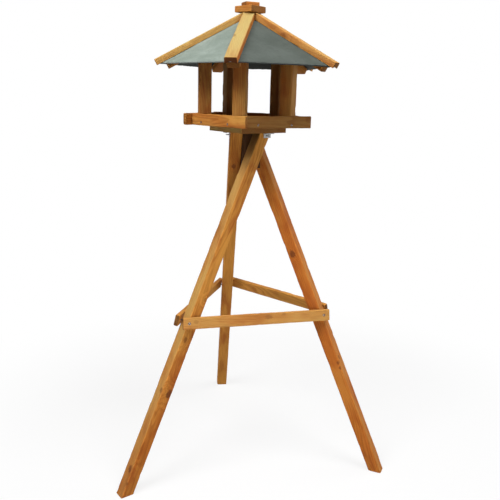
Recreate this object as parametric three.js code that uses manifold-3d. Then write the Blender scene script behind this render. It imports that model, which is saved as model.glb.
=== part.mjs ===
// A free-standing bird table: a five-sided feeding house with a slate roof, on a twisted tripod.
// Millimetres, +Z up. The ground is z = 0, and the origin is under the middle of the whole footprint.

import * as THREE from 'three';
import { mergeVertices } from 'three/addons/utils/BufferGeometryUtils.js';
import Module from 'manifold-3d';

const wasm = await Module();
wasm.setup();
const { degToRad } = THREE.MathUtils;

// Clearance between pieces that rest on each other, and how far every cut runs past its piece
const clearance = 0.3;
const overrun = 6;

// Stand: where the feet and the leg tops are, seen from above, how high the tray plate lies,
// and how far to the right of the house's axis the stand was fixed
const legCount = 3;
const standHeight = 1074;
const standOffset = 6;
const footRadius = 467.5;
const footTurn = degToRad(-129);
const legTopRadius = 46;
const legTwist = degToRad(106);
const legWide = 38.5;
const legArris = 4;

// Braces between the legs: the heights of each one's start and end, and how far it runs past the legs
const braceHeights = [[514, 509], [512, 503], [500, 514]];
const braceTall = 36;
const braceThick = 14;
const braceArris = 2;
const braceStartOver = [30, 13, 22];
const braceEndOver = 25;
const braceScrewInset = 19;

// Three-sided block between the leg tops, its corners cut off
const legBlockTall = 112;
const legBlockReach = 36;

// Plate under the tray
const plateSide = 170;
const plateThick = 17.5;
const plateArris = 2;
const plateTurn = degToRad(47);
const plateScrewInset = 19;

// Feeding house: five corners, the first one at the front
const sideCount = 5;
const houseTurn = degToRad(-90);
const trayApothem = 145.5;
const rimThick = 11;
const rimTall = 36;
const rimArris = 2.5;
const rimOver = 35;
const floorThick = 20;

// Screws of each rim board, the first from its butt end and the second from its free end
const rimScrewFromButt = [61, 54, 50, 54, 47];
const rimScrewFromEnd = [67, 70, 72, 70, 74];

// Corner posts
const postWide = 40;
const postTall = 199.5;
const postArris = 4;

// Roof
const hipPitch = degToRad(28.5);
const eaveRadius = 272;
const slateThick = 5;
const slateFromHip = 3;
const battenWide = 36;
const battenTall = 19;
const battenArris = 2.5;
const battenOver = 6;
const rafterTall = 25;
const rafterSetBack = 17;

// Cap on the apex
const capLowerSide = 66;
const capUpperSide = 42;
const capLowerThick = 18.5;
const capUpperThick = 11;
const capArris = 2;
const capLowerTurn = degToRad(-31);
const capUpperTurn = degToRad(-57);

// Countersunk screws: the thin ones of the rim, the wood screws of the other joints, and the long ones
// of the cap and the leg block
const rimScrew = { head: 3.4, shank: 1.6, headDeep: 2, point: 4, length: 34, sunk: 0.4 };
const woodScrew = { head: 4.4, shank: 2.2, headDeep: 2.6, point: 5, length: 36, sunk: 0.5 };
const longScrew = { ...woodScrew, length: 60 };

// Galvanised angle bracket at each leg's top
const bracketWide = 26;
const bracketAside = 8;
const bracketDown = 15;
const bracketOut = 20;
const bracketSheet = 2;
const bracketHole = 2.4;

// How finely the round edges are drawn
const arrisSteps = 2;
const screwSides = 10;
const holeSides = 12;

const stainedPine = new THREE.MeshStandardMaterial({ color: 0xb5763a, roughness: 0.62, metalness: 0 });
const slate = new THREE.MeshStandardMaterial({ color: 0x8b9791, roughness: 0.78, metalness: 0 });
const zincSteel = new THREE.MeshStandardMaterial({ color: 0xb9bcbb, roughness: 0.42, metalness: 1 });

// Values that follow from the sizes above
const sector = (2 * Math.PI) / sideCount;
const halfSector = sector / 2;
const legSector = (2 * Math.PI) / legCount;
const rimInner = trayApothem - rimThick;
const rimBottom = standHeight + plateThick + clearance;
const floorTop = rimBottom + floorThick;
const postReach =
  (postWide / 2 - postArris) * (Math.cos(halfSector) + Math.sin(halfSector)) + postArris;
const postRadius = (rimInner - clearance - postReach) / Math.cos(halfSector);
const postBottom = floorTop + clearance;
const backing = Math.sin(hipPitch) * Math.tan(halfSector);
const slateDrop = slateThick * Math.hypot(1, backing);
const rafterUnder = slateDrop + clearance + rafterTall;
const ridgeTop =
  postBottom +
  postTall +
  postRadius * Math.tan(hipPitch) +
  (rafterUnder + clearance) / Math.cos(hipPitch);
const battenUnder = clearance - (backing * battenWide) / 2;
const hubApothem = battenWide / 2 / Math.tan(halfSector);
const hipStart = hubApothem + clearance;
const slatePitch = Math.atan(Math.tan(hipPitch) / Math.cos(halfSector));
const capBottom =
  ridgeTop -
  hipStart * Math.tan(hipPitch) +
  (battenUnder + battenTall) / Math.cos(hipPitch) +
  clearance;

const alongX = new THREE.Matrix4().makeBasis(
  new THREE.Vector3(0, 1, 0),
  new THREE.Vector3(0, 0, 1),
  new THREE.Vector3(1, 0, 0),
);

// A closed geometry as a solid that can be cut
function toSolid(geometry) {
  const bare = geometry.clone();
  bare.deleteAttribute('normal');
  bare.deleteAttribute('uv');
  const merged = mergeVertices(bare);
  const mesh = new wasm.Mesh({
    numProp: 3,
    vertProperties: Float32Array.from(merged.attributes.position.array),
    triVerts: Uint32Array.from(merged.index.array),
  });
  return new wasm.Manifold(mesh);
}

function toGeometry(solid) {
  const mesh = solid.getMesh();
  const geometry = new THREE.BufferGeometry();
  geometry.setAttribute('position', new THREE.BufferAttribute(mesh.vertProperties, 3));
  geometry.setIndex(new THREE.BufferAttribute(mesh.triVerts, 1));
  geometry.computeVertexNormals();
  return geometry;
}

// Cuts a shape, given where it stands, out of a piece where that stands
function cut(piece, shape, place) {
  piece.updateWorldMatrix(true, false);
  const toPiece = piece.matrixWorld.clone().invert().multiply(place);
  const tool = shape.clone().applyMatrix4(toPiece);
  piece.geometry = toGeometry(toSolid(piece.geometry).subtract(toSolid(tool)));
}

function roundedRectangle(width, height, radius) {
  const x = width / 2 - radius;
  const y = height / 2 - radius;
  const quarter = Math.PI / 2;
  const outline = new THREE.Shape();
  outline.moveTo(-x, -y - radius);
  outline.absarc(x, -y, radius, -quarter, 0);
  outline.absarc(x, y, radius, 0, quarter);
  outline.absarc(-x, y, radius, quarter, 2 * quarter);
  outline.absarc(-x, -y, radius, 2 * quarter, 3 * quarter);
  return outline;
}

function extruded(outline, length) {
  const settings = { depth: length, bevelEnabled: false, curveSegments: arrisSteps };
  return new THREE.ExtrudeGeometry(outline, settings);
}

// Timber along +X from x = 0, its middle on the X axis, with its long edges eased
function timber(length, width, height, arris) {
  return extruded(roundedRectangle(width, height, arris), length).applyMatrix4(alongX);
}

// A box that stands on z = 0 and is centred on the Z axis
function block(width, depth, height) {
  return new THREE.BoxGeometry(width, depth, height).translate(0, 0, height / 2);
}

function piece(name, geometry, material, parent) {
  const mesh = new THREE.Mesh(geometry, material);
  mesh.name = name;
  parent.add(mesh);
  return mesh;
}

function turnedGroup(angle, parent) {
  const group = new THREE.Group();
  group.rotation.z = angle;
  parent.add(group);
  return group;
}

// A screw or its pilot hole: the head is at z = 0 and the point is down the -Z axis
function screwShape(size, ease, above) {
  const head = size.head + ease;
  const shank = size.shank + ease;
  const end = size.length + ease;
  const profile = [
    new THREE.Vector2(0, -end),
    new THREE.Vector2(shank, size.point - end),
    new THREE.Vector2(shank, -size.headDeep),
    new THREE.Vector2(head, 0),
  ];
  if (above > 0) {
    profile.push(new THREE.Vector2(head, above));
  }
  profile.push(new THREE.Vector2(0, above));
  return new THREE.LatheGeometry(profile, screwSides).rotateX(Math.PI / 2);
}

function screw(name, size, parent) {
  const mesh = piece(name, screwShape(size, 0, 0), zincSteel, parent);
  mesh.userData.size = size;
  return mesh;
}

// Drills every piece for every screw that reaches it
function drill(pieces, screws) {
  for (const fastener of screws) {
    fastener.updateWorldMatrix(true, false);
    const pilot = screwShape(fastener.userData.size, clearance, overrun);
    for (const target of pieces) {
      cut(target, pilot, fastener.matrixWorld);
    }
  }
}

// The middle line of the first leg, as a point at a height, and its direction seen from above
const foot = new THREE.Vector3(Math.cos(footTurn), Math.sin(footTurn), 0).multiplyScalar(footRadius);
const legTop = new THREE.Vector3(
  legTopRadius * Math.cos(footTurn + legTwist),
  legTopRadius * Math.sin(footTurn + legTwist),
  standHeight,
);
const legLine = legTop.clone().sub(foot);
const legAxis = legLine.clone().normalize();
const legRun = new THREE.Vector3(legLine.x, legLine.y, 0).normalize();
const legSide = new THREE.Vector3(legRun.y, -legRun.x, 0);

function legPoint(height) {
  return foot.clone().addScaledVector(legLine, height / standHeight);
}

// Square leg, cut level at the ground and under the plate
function makeLeg(name, parent) {
  const long = legLine.length() + 2 * legWide;
  const shape = timber(long, legWide, legWide, legArris);
  const leg = piece(name, shape, stainedPine, parent);
  const basis = new THREE.Matrix4().makeBasis(
    legAxis,
    legSide,
    legAxis.clone().cross(legSide),
  );
  leg.quaternion.setFromRotationMatrix(basis);
  leg.position.copy(foot).addScaledVector(legAxis, -legWide);
  const cutter = block(4 * footRadius, 4 * footRadius, 2 * legWide);
  cut(leg, cutter, new THREE.Matrix4().makeTranslation(0, 0, -2 * legWide));
  cut(leg, cutter, new THREE.Matrix4().makeTranslation(0, 0, standHeight - clearance));
  return leg;
}

// The corner of the first leg that lies furthest out along a level direction, at a height
function legCorner(direction, height) {
  const across = (Math.sign(direction.dot(legSide)) * legWide) / 2;
  const along = (Math.sign(direction.dot(legRun)) * legWide) / 2 / legAxis.z;
  return legPoint(height).addScaledVector(legSide, across).addScaledVector(legRun, along);
}

const upward = new THREE.Vector3(0, 0, 1);

function turned(vector, angle) {
  return vector.clone().applyAxisAngle(upward, angle);
}

// The frame of a brace from the first leg to the next: X along it, Y out of it, Z up its face, which
// leans with the legs
function braceFrame(startHeight, endHeight) {
  const start = legPoint(startHeight);
  const end = turned(legPoint(endHeight), legSector);
  const chord = end.clone().sub(start).setZ(0).normalize();
  const out = chord.clone().cross(upward);
  const nearCorner = legCorner(out, startHeight);
  const farCorner = turned(legCorner(turned(out, -legSector), endHeight), legSector);
  const along = farCorner.clone().sub(nearCorner).normalize();
  const level = along.clone().cross(upward).normalize();
  const slope = Math.hypot(legLine.x, legLine.y) / standHeight;
  const nearLean = -level.dot(legRun) * slope;
  const farLean = -level.dot(turned(legRun, legSector)) * slope;
  const lean = Math.atan((nearLean + farLean) / 2);
  const ease = (Math.abs(nearLean - farLean) / 2) * (braceTall / 2) + clearance;
  const rise = level.clone().cross(along);
  const outward = level.clone().multiplyScalar(Math.cos(lean)).addScaledVector(rise, Math.sin(lean));
  const face = new THREE.Matrix4().makeBasis(along, outward, along.clone().cross(outward));
  const place = nearCorner.clone().addScaledVector(outward, ease);
  const group = new THREE.Group();
  group.quaternion.setFromRotationMatrix(face);
  group.position.copy(place);
  group.userData.startAt = start.clone().sub(nearCorner).dot(along);
  group.userData.endAt = end.clone().sub(nearCorner).dot(along);
  return group;
}

// Brace on the outside of two legs, with a screw into each
function makeBrace(number, parent) {
  const frame = braceFrame(...braceHeights[number - 1]);
  parent.add(frame);
  const from = frame.userData.startAt - braceStartOver[number - 1];
  const to = frame.userData.endAt + braceEndOver;
  const shape = timber(to - from, braceThick, braceTall, braceArris);
  const board = piece(`brace_${number}`, shape, stainedPine, frame);
  board.position.set(from, braceThick / 2, 0);
  const screws = [];
  for (const [end, x] of [['start', from + braceScrewInset], ['end', to - braceScrewInset]]) {
    const fastener = screw(`brace_screw_${number}_${end}`, woodScrew, frame);
    fastener.position.set(x, braceThick - woodScrew.sunk, 0);
    fastener.rotation.x = -Math.PI / 2;
    screws.push(fastener);
  }
  return { board, screws };
}

// Angle bracket between the level plate and the upright side of a leg
function makeBracket(name, parent) {
  const outline = new THREE.Shape();
  outline.moveTo(0, 0);
  outline.lineTo(0, -bracketDown);
  outline.lineTo(bracketSheet, -bracketDown);
  outline.lineTo(bracketSheet, -bracketSheet);
  outline.lineTo(bracketOut, -bracketSheet);
  outline.lineTo(bracketOut, 0);
  outline.closePath();
  const shape = extruded(outline, bracketWide).applyMatrix4(alongX).translate(-bracketWide / 2, 0, 0);
  const bracket = piece(name, shape, zincSteel, parent);
  const basis = new THREE.Matrix4().makeBasis(legRun.clone().negate(), legSide, upward);
  bracket.quaternion.setFromRotationMatrix(basis);
  bracket.position.copy(legPoint(standHeight - bracketDown / 2));
  bracket.position.addScaledVector(legSide, legWide / 2 + clearance);
  bracket.position.addScaledVector(legRun, bracketAside);
  bracket.position.z = standHeight - clearance;
  bracket.updateWorldMatrix(true, false);
  const hole = new THREE.CylinderGeometry(bracketHole, bracketHole, 2 * overrun, holeSides);
  const sideHole = hole.clone().translate(0, 0, -bracketDown / 2 - bracketSheet / 2);
  const topHole = hole.clone().rotateX(Math.PI / 2).translate(0, bracketOut / 2 + bracketSheet / 2, 0);
  cut(bracket, sideHole, bracket.matrixWorld);
  cut(bracket, topHole, bracket.matrixWorld);
  return bracket;
}

// Block with a face against the inner side of each leg
function makeLegBlock(parent) {
  const apothem = legPoint(standHeight).dot(legSide) - legWide / 2 - clearance;
  const facing = Math.atan2(legSide.y, legSide.x);
  const half = apothem * Math.tan(legSector / 2);
  const corner = apothem / Math.cos(legSector / 2);
  const kept = half - (corner - legBlockReach) / Math.sin(legSector / 2);
  const outline = new THREE.Shape();
  for (let i = 0; i < legCount; i += 1) {
    const angle = facing + i * legSector;
    for (const y of [-kept, kept]) {
      const point = new THREE.Vector3(apothem, y, 0).applyAxisAngle(upward, angle);
      if (i === 0 && y < 0) {
        outline.moveTo(point.x, point.y);
      } else {
        outline.lineTo(point.x, point.y);
      }
    }
  }
  outline.closePath();
  const timberBlock = piece('leg_block', extruded(outline, legBlockTall), stainedPine, parent);
  timberBlock.position.z = standHeight - clearance - legBlockTall;
  return timberBlock;
}

// The stand: three legs around a block, the braces around them and the brackets at their tops
function makeStand(parent) {
  const stand = new THREE.Group();
  stand.position.x = standOffset;
  parent.add(stand);
  const legs = [];
  const braceScrews = [];
  const boards = [];
  for (let i = 0; i < legCount; i += 1) {
    const group = turnedGroup(i * legSector, stand);
    legs.push(makeLeg(`leg_${i + 1}`, group));
    const { board, screws } = makeBrace(i + 1, group);
    boards.push(board);
    braceScrews.push(...screws);
    makeBracket(`leg_bracket_${i + 1}`, group);
  }
  drill([...legs, ...boards], braceScrews);
  return makeLegBlock(stand);
}

// Square plate on the legs, with a screw down into the block, and one up into the floor near each of
// two corners
function makePlate(parent, legBlock) {
  const group = turnedGroup(plateTurn, parent);
  const outline = roundedRectangle(plateSide, plateSide, plateArris);
  const plate = piece('tray_plate', extruded(outline, plateThick), stainedPine, group);
  plate.position.z = standHeight;
  const reach = plateSide / 2 - plateScrewInset;
  const screws = [];
  for (const side of [1, -1]) {
    const fastener = screw(`plate_screw_${screws.length + 1}`, woodScrew, group);
    fastener.position.set(side * reach, side * reach, standHeight + woodScrew.sunk);
    fastener.rotation.x = Math.PI;
    screws.push(fastener);
  }
  const middle = screw('block_screw', longScrew, parent);
  middle.position.set(standOffset, 0, standHeight + plateThick - longScrew.sunk);
  drill([plate], [...screws, middle]);
  drill([legBlock], [middle]);
  return screws;
}

// A level five-sided slab whose corners lie in the directions of the house corners or between them
function pentagon(apothem, height, turn) {
  const outline = new THREE.Shape();
  const radius = apothem / Math.cos(halfSector);
  for (let i = 0; i < sideCount; i += 1) {
    const angle = turn + i * sector;
    const point = [radius * Math.cos(angle), radius * Math.sin(angle)];
    if (i === 0) {
      outline.moveTo(...point);
    } else {
      outline.lineTo(...point);
    }
  }
  outline.closePath();
  return extruded(outline, height);
}

function makeFloor(parent) {
  const shape = pentagon(rimInner - clearance, floorThick, houseTurn);
  const floor = piece('tray_floor', shape, stainedPine, parent);
  floor.position.z = rimBottom;
  return floor;
}

// Rim board on one side: its first end butts against the board before, its other end runs free
function makeRimBoard(number, parent) {
  const group = turnedGroup(houseTurn + (number - 0.5) * sector, parent);
  const corner = trayApothem * Math.tan(halfSector);
  const long = 2 * corner + rimOver;
  const shape = timber(long, rimThick, rimTall, rimArris).rotateZ(Math.PI / 2);
  const board = piece(`rim_board_${number}`, shape, stainedPine, group);
  board.position.set(rimInner + rimThick / 2, -corner, rimBottom + rimTall / 2);
  const neighbour = block(2 * (corner + rimOver), 2 * (corner + rimOver), rimTall + 2 * overrun);
  neighbour.translate(rimInner - clearance + corner + rimOver, 0, rimBottom - overrun);
  group.updateWorldMatrix(true, false);
  const place = group.matrixWorld.clone().multiply(new THREE.Matrix4().makeRotationZ(-sector));
  cut(board, neighbour, place);
  const butt = -rimInner * Math.tan(halfSector);
  const screws = [];
  const first = butt + rimScrewFromButt[number - 1];
  const last = corner + rimOver - rimScrewFromEnd[number - 1];
  for (const y of [first, last]) {
    const fastener = screw(`rim_screw_${number}_${screws.length + 1}`, rimScrew, group);
    fastener.position.set(trayApothem - rimScrew.sunk, y, rimBottom + floorThick / 2);
    fastener.rotation.y = Math.PI / 2;
    screws.push(fastener);
  }
  drill([board], screws);
  return screws;
}

function makeTray(parent, plateScrews) {
  const floor = makeFloor(parent);
  const rimScrews = [];
  for (let i = 1; i <= sideCount; i += 1) {
    rimScrews.push(...makeRimBoard(i, parent));
  }
  drill([floor], [...plateScrews, ...rimScrews]);
}

// The frame of a hip: X down the hip from the axis, Z out of it, with z = 0 at the slates' ridge
function hipGroup(parent) {
  const group = new THREE.Group();
  group.position.z = ridgeTop;
  group.rotation.y = hipPitch;
  parent.add(group);
  return group;
}

// Corner post, its head cut to the slope of the rafter
function makePost(name, corner, hip) {
  const long = postTall + postWide;
  const shape = extruded(roundedRectangle(postWide, postWide, postArris), long);
  const post = piece(name, shape, stainedPine, corner);
  post.position.set(postRadius, 0, postBottom);
  const above = block(2 * eaveRadius, 2 * battenWide + 2 * postWide, long);
  above.translate(eaveRadius, 0, -rafterUnder - clearance);
  hip.updateWorldMatrix(true, false);
  cut(post, above, hip.matrixWorld);
}

// Cuts the upper end of a rafter or batten upright, where it meets the hub
function trimAtHub(target, corner) {
  const core = block(2 * hipStart, 2 * battenWide, 4 * battenWide + 2 * rafterUnder);
  core.translate(0, 0, ridgeTop - 2 * battenWide - rafterUnder);
  corner.updateWorldMatrix(true, false);
  cut(target, core, corner.matrixWorld);
}

// Rafter under the hip, its top backed to the two slates that lie on it
function makeRafter(name, corner, hip) {
  const half = battenWide / 2;
  const top = -slateDrop - clearance;
  const bottom = -rafterUnder;
  const outline = new THREE.Shape();
  outline.moveTo(half, top - backing * half);
  outline.lineTo(0, top);
  outline.lineTo(-half, top - backing * half);
  outline.lineTo(-half, bottom + battenArris);
  outline.absarc(-half + battenArris, bottom + battenArris, battenArris, Math.PI, 1.5 * Math.PI);
  outline.absarc(half - battenArris, bottom + battenArris, battenArris, 1.5 * Math.PI, 2 * Math.PI);
  outline.closePath();
  const long = (eaveRadius - rafterSetBack) / Math.cos(hipPitch);
  const rafter = piece(name, extruded(outline, long).applyMatrix4(alongX), stainedPine, hip);
  trimAtHub(rafter, corner);
}

// Batten over the hip, hollowed to a V underneath so that it sits down on the two slates
function makeBatten(name, corner, hip) {
  const half = battenWide / 2;
  const top = battenUnder + battenTall;
  const outline = new THREE.Shape();
  outline.moveTo(-half, battenUnder);
  outline.lineTo(0, clearance);
  outline.lineTo(half, battenUnder);
  outline.lineTo(half, top - battenArris);
  outline.absarc(half - battenArris, top - battenArris, battenArris, 0, Math.PI / 2);
  outline.absarc(-half + battenArris, top - battenArris, battenArris, Math.PI / 2, Math.PI);
  outline.closePath();
  const long = (eaveRadius + battenOver) / Math.cos(hipPitch);
  const batten = piece(name, extruded(outline, long).applyMatrix4(alongX), stainedPine, hip);
  trimAtHub(batten, corner);
}

// Slate panel between two hips, its long edges a little short of them
function makeSlate(name, side) {
  const slope = Math.cos(slatePitch);
  const upper = (hubApothem / Math.cos(halfSector) + slateFromHip) / slope;
  const lower = (eaveRadius * Math.cos(halfSector)) / slope;
  const halfWidth = (x) => x * slope * Math.tan(halfSector) - slateFromHip / Math.cos(halfSector);
  const outline = new THREE.Shape();
  outline.moveTo(upper, -halfWidth(upper));
  outline.lineTo(lower, -halfWidth(lower));
  outline.lineTo(lower, halfWidth(lower));
  outline.lineTo(upper, halfWidth(upper));
  outline.closePath();
  const panel = piece(name, extruded(outline, slateThick).translate(0, 0, -slateThick), slate, side);
  panel.position.z = ridgeTop;
  panel.rotation.y = slatePitch;
}

// Five-sided hub at the apex, a flat face towards each rafter
function makeHub(parent) {
  const bottom = ridgeTop - hipStart * Math.tan(hipPitch) - rafterUnder / Math.cos(hipPitch);
  const top = capBottom - clearance;
  const shape = pentagon(hubApothem, top - bottom, houseTurn + halfSector);
  const hub = piece('roof_hub', shape, stainedPine, parent);
  hub.position.z = bottom;
  return hub;
}

// Two square blocks on the apex, the upper one turned, and the long screw that holds both
function makeCap(parent, hub) {
  const lowerShape = extruded(roundedRectangle(capLowerSide, capLowerSide, capArris), capLowerThick);
  const lower = piece('cap_lower', lowerShape, stainedPine, parent);
  lower.rotation.z = capLowerTurn;
  lower.position.z = capBottom;
  const upperShape = extruded(roundedRectangle(capUpperSide, capUpperSide, capArris), capUpperThick);
  const upper = piece('cap_upper', upperShape, stainedPine, parent);
  upper.rotation.z = capUpperTurn;
  upper.position.z = capBottom + capLowerThick + clearance;
  const fastener = screw('cap_screw', longScrew, parent);
  fastener.position.z = upper.position.z + capUpperThick - longScrew.sunk;
  drill([lower, upper, hub], [fastener]);
}

// Roof and posts, corner by corner
function makeHouse(parent) {
  for (let i = 0; i < sideCount; i += 1) {
    const corner = turnedGroup(houseTurn + i * sector, parent);
    const hip = hipGroup(corner);
    makePost(`post_${i + 1}`, corner, hip);
    makeRafter(`rafter_${i + 1}`, corner, hip);
    makeBatten(`hip_batten_${i + 1}`, corner, hip);
    const side = turnedGroup(houseTurn + (i + 0.5) * sector, parent);
    makeSlate(`roof_slate_${i + 1}`, side);
  }
  makeCap(parent, makeHub(parent));
}

const birdTable = new THREE.Group();
const legBlock = makeStand(birdTable);
makeTray(birdTable, makePlate(birdTable, legBlock));
makeHouse(birdTable);

// Puts the origin under the middle of the footprint
const middle = new THREE.Box3().setFromObject(birdTable, true).getCenter(new THREE.Vector3());
birdTable.position.set(-middle.x, -middle.y, 0);

export default birdTable;
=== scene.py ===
import math

import bpy
import numpy as np
from mathutils import Matrix, Vector


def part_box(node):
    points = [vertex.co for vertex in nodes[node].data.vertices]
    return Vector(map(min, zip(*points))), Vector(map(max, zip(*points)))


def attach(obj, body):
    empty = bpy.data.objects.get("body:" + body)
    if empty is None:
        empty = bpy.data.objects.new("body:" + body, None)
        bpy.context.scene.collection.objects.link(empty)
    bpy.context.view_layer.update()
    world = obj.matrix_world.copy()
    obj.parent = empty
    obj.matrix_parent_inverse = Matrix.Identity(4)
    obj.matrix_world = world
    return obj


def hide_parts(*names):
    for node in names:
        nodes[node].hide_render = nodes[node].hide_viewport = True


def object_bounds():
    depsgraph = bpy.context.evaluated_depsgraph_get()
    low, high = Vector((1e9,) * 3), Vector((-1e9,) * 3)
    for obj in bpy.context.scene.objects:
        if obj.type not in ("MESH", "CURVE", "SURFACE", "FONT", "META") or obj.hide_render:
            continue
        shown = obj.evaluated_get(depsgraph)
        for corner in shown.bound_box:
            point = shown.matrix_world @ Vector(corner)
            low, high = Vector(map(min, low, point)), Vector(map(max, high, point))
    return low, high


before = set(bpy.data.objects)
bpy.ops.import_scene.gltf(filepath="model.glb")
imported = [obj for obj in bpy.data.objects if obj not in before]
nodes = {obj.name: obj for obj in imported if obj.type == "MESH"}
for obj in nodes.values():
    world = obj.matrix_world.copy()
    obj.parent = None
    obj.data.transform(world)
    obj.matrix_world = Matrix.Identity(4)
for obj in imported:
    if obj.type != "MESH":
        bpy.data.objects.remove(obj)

cadLow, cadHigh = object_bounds()
print("frame loaded:", len(nodes), "solids")

# The camera: where it stands, how it is turned, and its lens and sensor in millimetres
camera = {
    "distance": 1.976,
    "eyeHeight": 1.1928,
    "round": math.radians(9.91),  # how far round from the front corner, to the right
    "yaw": math.radians(0.51),
    "pitch": math.radians(14.14),
    "roll": math.radians(1.49),
    "lens": 45.1,
    "sensor": 36.0,
    "pixelsAcross": 500,
    "farthest": 50,
}


# Middle of the box round a solid
def boxMiddle(name):
    low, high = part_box(name)
    return (np.array(low) + np.array(high)) / 2


# A vector over its own length
def unit(vector):
    return vector / np.linalg.norm(vector)


up = np.array([0.0, 0.0, 1.0])
houseAxis = boxMiddle("cap_lower") * (1, 1, 0)
standAxis = boxMiddle("leg_block") * (1, 1, 0)


# Where the eye is, and its right, up and forward directions
def cameraFrame(values):
    turn = np.array(Matrix.Rotation(values["round"], 3, "Z"))
    level = turn @ np.array([0.0, 1.0, 0.0])
    heading = np.array(Matrix.Rotation(-values["yaw"], 3, "Z")) @ level
    across = np.cross(heading, up)
    forward = heading * math.cos(values["pitch"]) - up * math.sin(values["pitch"])
    upright = np.cross(across, forward)
    right = across * math.cos(values["roll"]) + upright * math.sin(values["roll"])
    above = upright * math.cos(values["roll"]) - across * math.sin(values["roll"])
    place = houseAxis - level * values["distance"] + up * values["eyeHeight"]
    return place, right, above, forward


# A camera in that frame, whose own axes are right, above and backwards
def makeCamera(values):
    place, right, above, forward = cameraFrame(values)
    lens = bpy.data.cameras.new("camera")
    lens.lens = values["lens"]
    lens.sensor_width = values["sensor"]
    lens.clip_end = values["farthest"]
    eye = bpy.data.objects.new("camera", lens)
    bpy.context.scene.collection.objects.link(eye)
    basis = Matrix(np.array([right, above, -forward]).T.tolist()).to_4x4()
    eye.matrix_world = Matrix.Translation(place.tolist()) @ basis
    bpy.context.scene.camera = eye


# The point where the sight line through a pixel first meets a box, given by a frame of three rows, its
# middle and its half sizes, in that frame's own coordinates
def pixelOnBox(pixel, axes, middle, half):
    place, right, above, forward = cameraFrame(camera)
    across = camera["pixelsAcross"]
    step = camera["sensor"] / camera["lens"] / across
    ray = forward + right * (pixel[0] - across / 2) * step - above * (pixel[1] - across / 2) * step
    start, ray = axes @ (place - middle), axes @ ray
    near = np.minimum((-half - start) / ray, (half - start) / ray)
    return start + ray * near.max()


makeCamera(camera)
print("camera placed")


# Helpers for meshes and for the directions that grain runs in
crease = math.radians(38)  # edges sharper than this stay crisp
squarePart = 0.3  # two directions count as square to each other while their product is below this
leanPart = 0.2  # and a timber leans while its grain points up by more than this
touching = 0.0005  # how near a point lies to a plane to be one of its points


# A new piece of the bird table from points and faces, smooth up to the crease angle
def linkPiece(name, points, faces, material, replaced=()):
    mesh = bpy.data.meshes.new(name)
    mesh.from_pydata(points.reshape(-1, 3).tolist(), [], faces)
    mesh.update()
    mesh.polygons.foreach_set("use_smooth", np.ones(len(mesh.polygons), bool))
    mesh.set_sharp_from_angle(angle=crease)
    mesh.materials.append(material)
    piece = bpy.data.objects.new(name, mesh)
    bpy.context.scene.collection.objects.link(piece)
    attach(piece, "root")
    if replaced:
        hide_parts(*replaced)
    return piece


# A solid that is shown as it is, in a material of its own
def dress(name, material):
    mesh = nodes[name].data
    mesh.materials.clear()
    mesh.materials.append(material)


# Face normals, areas and centres of a solid, as arrays
def nodeFaces(name):
    mesh = nodes[name].data
    count = len(mesh.polygons)
    normals, areas, centres = np.zeros(count * 3), np.zeros(count), np.zeros(count * 3)
    mesh.polygons.foreach_get("normal", normals)
    mesh.polygons.foreach_get("area", areas)
    mesh.polygons.foreach_get("center", centres)
    return normals.reshape(-1, 3), areas, centres.reshape(-1, 3)


# Corners of a solid, as rows
def nodePoints(name):
    mesh = nodes[name].data
    points = np.zeros(len(mesh.vertices) * 3)
    mesh.vertices.foreach_get("co", points)
    return points.reshape(-1, 3)


# Normal of the largest flat face among the chosen ones, and a point on it. Faces with the same normal
# further in, such as a hole's, are passed over
def largestFace(normals, areas, centres, chosen):
    groups, which = np.unique(np.round(normals[chosen], 2), axis=0, return_inverse=True)
    totals = np.bincount(which.ravel(), weights=areas[chosen])
    picked = which.ravel() == np.argmax(totals)
    normal = unit((normals[chosen][picked] * areas[chosen][picked, None]).sum(0))
    places = centres[chosen][picked]
    return normal, places[np.argmax(places @ normal)]


# Frame of a sawn timber, as three rows: the long axis is the direction that its faces look along least,
# the second axis is the normal of its largest long face, and the third is square to both. A leaning timber
# starts at its upper end
def timberAxes(name):
    normals, areas, centres = nodeFaces(name)
    spread = (normals * areas[:, None]).T @ normals
    along = np.linalg.eigh(spread)[1][:, 0]
    sides = np.abs(normals @ along) < squarePart
    spread = (normals[sides] * areas[sides, None]).T @ normals[sides]
    along = np.linalg.eigh(spread)[1][:, 0]
    along *= -1 if along[2] > leanPart else 1
    face, _ = largestFace(normals, areas, centres, sides)
    face = unit(face - along * (face @ along))
    return np.array([along, face, np.cross(along, face)])


# Frame of a board on edge: the second axis looks away from a place, and the third is the upward one
def boardAxes(name, place):
    along, face, _ = timberAxes(name)
    if (boxMiddle(name) - place) @ face < 0:
        face = -face
    if np.cross(along, face)[2] < 0:
        along = -along
    return np.array([along, face, np.cross(along, face)])


# Frame of a timber on a hip: down the hip, level across it, and out of the roof
def hipAxes(name):
    along = timberAxes(name)[0]
    side = unit(np.cross(up, along))
    return np.array([along, side, np.cross(along, side)])


# Frame of a flat block: along one side, along the other, and up
def blockAxes(name):
    normals, areas, centres = nodeFaces(name)
    face, _ = largestFace(normals, areas, centres, np.abs(normals[:, 2]) < squarePart)
    return np.array([np.cross(face, up), face, up])


# The same with the upward one second, where the screw in its top is looked for
def capAxes(name):
    along = blockAxes(name)[0]
    return np.array([along, up, np.cross(along, up)])


# Middle and half sizes of a solid in a frame of three rows
def frameBox(name, axes):
    local = nodePoints(name) @ axes.T
    low, high = local.min(0), local.max(0)
    return (low + high) / 2 @ axes, (high - low) / 2


# Corners of a solid from that middle, in that frame
def localPoints(name, axes, middle):
    return (nodePoints(name) - middle) @ axes.T


# 3t^2 - 2t^3, which starts and ends level
def eased(share):
    return share * share * (3 - 2 * share)


# What scatters the values of neighbouring lattice points
lattice = {"weights": (127.1, 311.7, 74.7), "seedStep": 17.3, "scatter": 43758.5453}


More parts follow.
